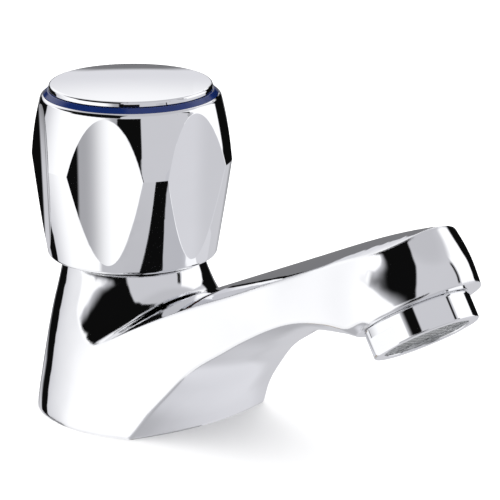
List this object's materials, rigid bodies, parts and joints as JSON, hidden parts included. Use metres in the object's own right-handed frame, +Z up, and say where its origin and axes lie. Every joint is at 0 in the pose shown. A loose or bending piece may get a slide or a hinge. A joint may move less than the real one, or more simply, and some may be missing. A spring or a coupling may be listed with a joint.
{
  "type": "basin tap",
  "caption": "Chromed pillar tap for a basin: a knob with a blue ring lifts a rubber washer off its seat, and water leaves a raised spout through a leaning aerator.",
  "frame": {"origin": "on the deck plane, under the base, on the axis of the knob, valve and threaded tail", "axes": "+Z up, towards the cap; +X towards the spout's nose; +Y to the left, seen from the back of the tap looking along +X"},
  "size_m": [0.1308, 0.051, 0.1267],
  "materials": {
    "chrome_plate": "polished",
    "bare_brass": "machined",
    "steel": "satin",
    "black_rubber": "matte",
    "red_fibre": "matte",
    "white_plastic": "matte",
    "blue_ring": "gloss",
    "grey_plastic": "matte"
  },
  "bodies": {
    "tap_body": {"spout_body": "chrome_plate", "threaded_shank": "bare_brass", "shank_seal": "red_fibre", "base_gasket": "black_rubber", "deck_seal_washer": "black_rubber", "deck_steel_washer": "steel", "backnut": "bare_brass", "bonnet": "bare_brass", "bonnet_gasket": "red_fibre", "aerator_housing": "chrome_plate", "aerator_outlet_grid": "grey_plastic", "aerator_cage": "grey_plastic", "aerator_screens": "steel", "aerator_flow_plate": "grey_plastic", "aerator_gasket": "black_rubber"},
    "handle": {"knob": "chrome_plate", "index_ring": "blue_ring", "cap": "chrome_plate", "handle_screw": "steel", "spline_bush": "bare_brass", "spindle": "bare_brass", "spindle_o_rings": "black_rubber", "collar_washer": "white_plastic", "gland_washer": "white_plastic", "circlip": "steel"},
    "valve": {"plunger": "bare_brass", "valve_washer": "black_rubber", "washer_screw": "bare_brass"}
  },
  "joints": [
    {"name": "handle_turn", "type": "hinge", "parent": "tap_body", "child": "handle", "pos_m": [0, 0, 0], "axis": [0, 0, 1], "range_deg": [0, 630]},
    {"name": "plunger_lift", "type": "slide", "parent": "tap_body", "child": "valve", "axis": [0, 0, 1], "range_m": [0, 0.0044]}
  ],
  "couplings": [
    {"joint": "plunger_lift", "follows": "handle_turn", "m_per_rad": 0.00039789}
  ]
}
